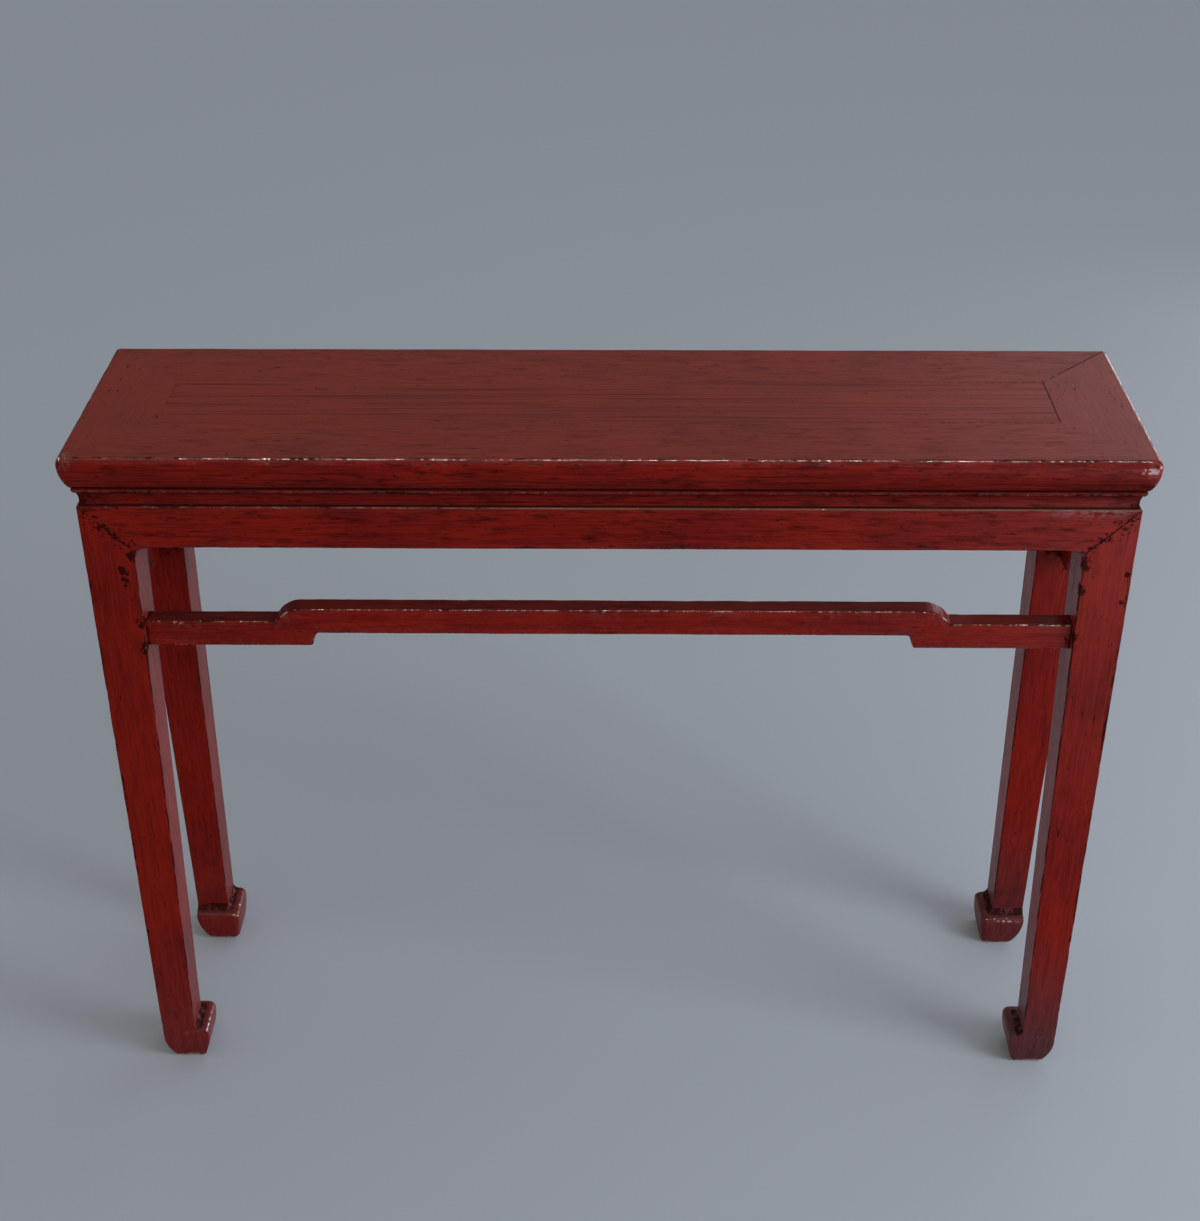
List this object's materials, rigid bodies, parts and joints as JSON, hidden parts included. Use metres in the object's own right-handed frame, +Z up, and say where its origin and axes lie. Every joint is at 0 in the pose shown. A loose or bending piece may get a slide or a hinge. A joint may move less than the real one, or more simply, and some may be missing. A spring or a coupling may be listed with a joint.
{
  "type": "altar table",
  "caption": "Narrow waisted altar table with a framed panel top, square corner legs on hoof feet and humpback stretchers.",
  "frame": {"origin": "on the floor, under the middle of the table's overall box", "axes": "+X along the table's length to the right as seen from the front, +Y from the front to the back, +Z up"},
  "size_m": [1.138, 0.281, 0.85],
  "materials": {
    "red_lacquer": "old red lacquer, satin, worn dark at the edges and joints",
    "panel_lacquer": "rubbed brown-red lacquer, matt to satin, with the grain showing",
    "plain_wood": "bare planed softwood"
  },
  "bodies": {
    "root": {"apron_pegs": "plain_wood", "back_apron": "red_lacquer", "back_left_leg": "red_lacquer", "back_right_leg": "red_lacquer", "back_stretcher": "red_lacquer", "back_top_rail": "red_lacquer", "back_waist": "red_lacquer", "front_apron": "red_lacquer", "front_left_leg": "red_lacquer", "front_right_leg": "red_lacquer", "front_stretcher": "red_lacquer", "front_top_rail": "red_lacquer", "front_waist": "red_lacquer", "left_apron": "red_lacquer", "left_batten": "plain_wood", "left_stretcher": "red_lacquer", "left_top_rail": "red_lacquer", "left_waist": "red_lacquer", "middle_batten": "plain_wood", "right_apron": "red_lacquer", "right_batten": "plain_wood", "right_stretcher": "red_lacquer", "right_top_rail": "red_lacquer", "right_waist": "red_lacquer", "stretcher_pegs": "plain_wood", "top_panel": "panel_lacquer"}
  },
  "joints": []
}
